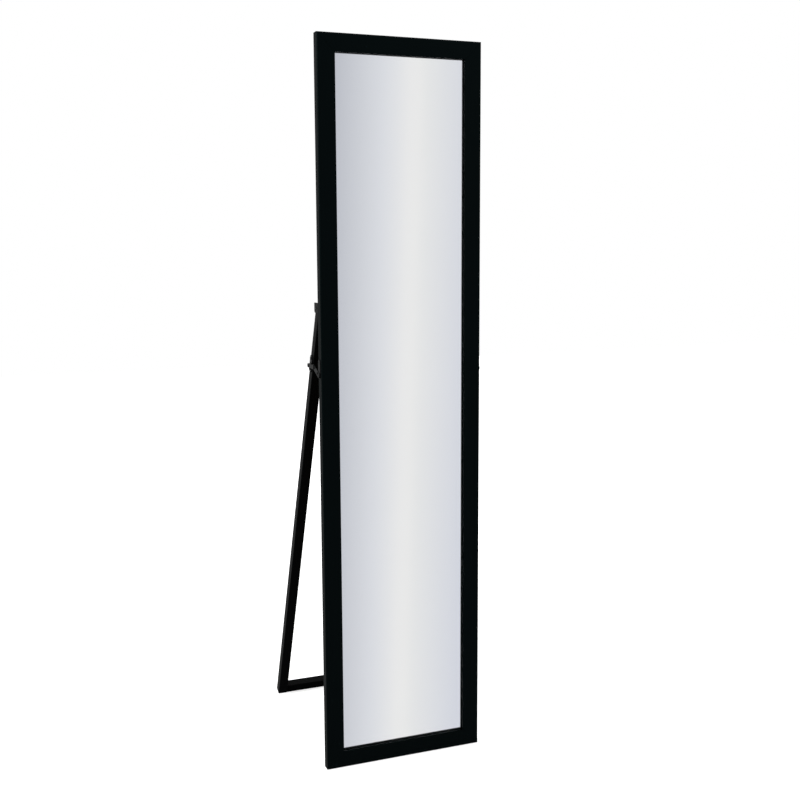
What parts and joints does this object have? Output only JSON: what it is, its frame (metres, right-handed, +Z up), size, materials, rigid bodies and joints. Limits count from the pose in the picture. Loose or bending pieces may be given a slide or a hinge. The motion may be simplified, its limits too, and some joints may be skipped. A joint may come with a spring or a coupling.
{
  "type": "floor mirror",
  "caption": "Tall narrow mirror in a plain black frame that stands on the floor on its own folding easel stand of two legs and a cross bar, held open by folding stays.",
  "frame": {"origin": "on the floor, at the centre of the space that the standing object takes up when its stand is open", "axes": "+Z up, +X to the right as seen from the front, +Y towards the back; the mirror faces -Y"},
  "size_m": [0.3726, 0.4502, 1.5601],
  "materials": {
    "frame_paint": "satin black paint",
    "stand_paint": "satin black paint",
    "mirror_glass": "silvered back, clear polished front",
    "panel_board": "plain hardboard",
    "bracket_plastic": "matte",
    "black_steel": "satin black",
    "zinc_steel": "zinc plated",
    "dowel_wood": "bare beech"
  },
  "bodies": {
    "mirror": {"frame_stile_left": "frame_paint", "frame_stile_right": "frame_paint", "frame_rail_top": "frame_paint", "frame_rail_bottom": "frame_paint", "corner_v_nails": "zinc_steel", "mirror_glass": "mirror_glass", "back_panel": "panel_board", "panel_points": "zinc_steel", "hinge_bracket_left": "bracket_plastic", "hinge_bracket_screws_left": "zinc_steel", "hinge_bolt_left": "black_steel", "hinge_washer_left": "zinc_steel", "hinge_nut_left": "zinc_steel", "stay_frame_plate_left": "black_steel", "stay_frame_plate_screws_left": "black_steel", "stay_frame_rivet_left": "black_steel", "hinge_bracket_right": "bracket_plastic", "hinge_bracket_screws_right": "zinc_steel", "hinge_bolt_right": "black_steel", "hinge_washer_right": "zinc_steel", "hinge_nut_right": "zinc_steel", "stay_frame_plate_right": "black_steel", "stay_frame_plate_screws_right": "black_steel", "stay_frame_rivet_right": "black_steel"},
    "stand": {"stand_leg_left": "stand_paint", "stand_leg_right": "stand_paint", "stand_cross_bar": "stand_paint", "cross_bar_dowels": "dowel_wood", "stay_leg_plate_left": "black_steel", "stay_leg_plate_screws_left": "black_steel", "stay_leg_rivet_left": "black_steel", "stay_leg_plate_right": "black_steel", "stay_leg_plate_screws_right": "black_steel", "stay_leg_rivet_right": "black_steel"},
    "stay_rear_left": {"stay_rear_strap_left": "black_steel", "stay_knee_rivet_left": "black_steel"},
    "stay_front_left": {"stay_front_strap_left": "black_steel"},
    "stay_rear_right": {"stay_rear_strap_right": "black_steel", "stay_knee_rivet_right": "black_steel"},
    "stay_front_right": {"stay_front_strap_right": "black_steel"}
  },
  "joints": [
    {"name": "stand_fold", "type": "hinge", "parent": "mirror", "child": "stand", "pos_m": [0, -0.17972, 1.0088], "axis": [-1, 0, 0], "range_deg": [0, 22.05]},
    {"name": "stay_rear_turn_left", "type": "hinge", "parent": "stand", "child": "stay_rear_left", "pos_m": [-0.1845, -0.13017, 0.88269], "axis": [-1, 0, 0], "range_deg": [0, 30]},
    {"name": "stay_knee_bend_left", "type": "hinge", "parent": "stay_rear_left", "child": "stay_front_left", "pos_m": [-0.184, -0.16778, 0.88274], "axis": [1, 0, 0], "range_deg": [0, 125.5]},
    {"name": "stay_rear_turn_right", "type": "hinge", "parent": "stand", "child": "stay_rear_right", "pos_m": [0.1845, -0.13017, 0.88269], "axis": [-1, 0, 0], "range_deg": [0, 30]},
    {"name": "stay_knee_bend_right", "type": "hinge", "parent": "stay_rear_right", "child": "stay_front_right", "pos_m": [0.184, -0.16778, 0.88274], "axis": [1, 0, 0], "range_deg": [0, 125.5]}
  ],
  "couplings": [
    {"joint": "stay_rear_turn_left", "follows": "stand_fold", "ratio": 1.3601},
    {"joint": "stay_knee_bend_left", "follows": "stand_fold", "ratio": 5.689},
    {"joint": "stay_rear_turn_right", "follows": "stand_fold", "ratio": 1.3601},
    {"joint": "stay_knee_bend_right", "follows": "stand_fold", "ratio": 5.689}
  ]
}
